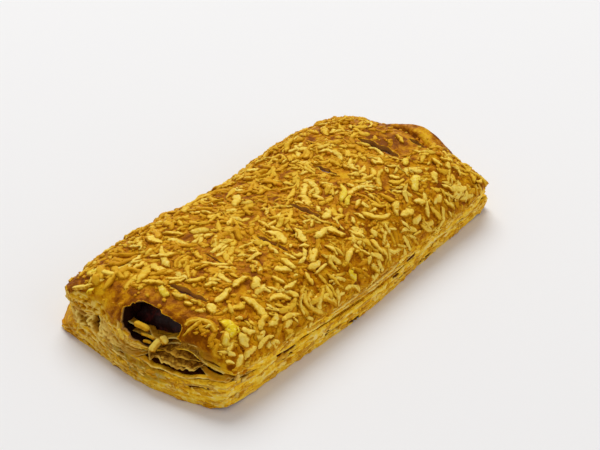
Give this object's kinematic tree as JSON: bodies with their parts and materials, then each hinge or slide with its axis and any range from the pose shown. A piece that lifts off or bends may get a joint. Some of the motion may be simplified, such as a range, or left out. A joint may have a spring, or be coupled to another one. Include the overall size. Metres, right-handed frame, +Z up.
{
  "type": "cheese pastry",
  "caption": "Oblong puff pastry slice: domed lid with crosswise vents over a base sheet, dark filling showing at a burst end, grated cheese baked on top.",
  "frame": {"origin": "middle of the underside", "axes": "+X along the length from the burst end to the other end, +Z up"},
  "size_m": [0.1652, 0.0836, 0.0282],
  "materials": {
    "pastry_base": "baked laminated pastry, matt with a slight fat sheen",
    "filling": "moist, dark and lumpy",
    "pastry_lid": "egg-glazed golden brown crust"
  },
  "bodies": {
    "root": {"pastry_base": "pastry_base", "filling": "filling", "pastry_lid": "pastry_lid"}
  },
  "joints": []
}
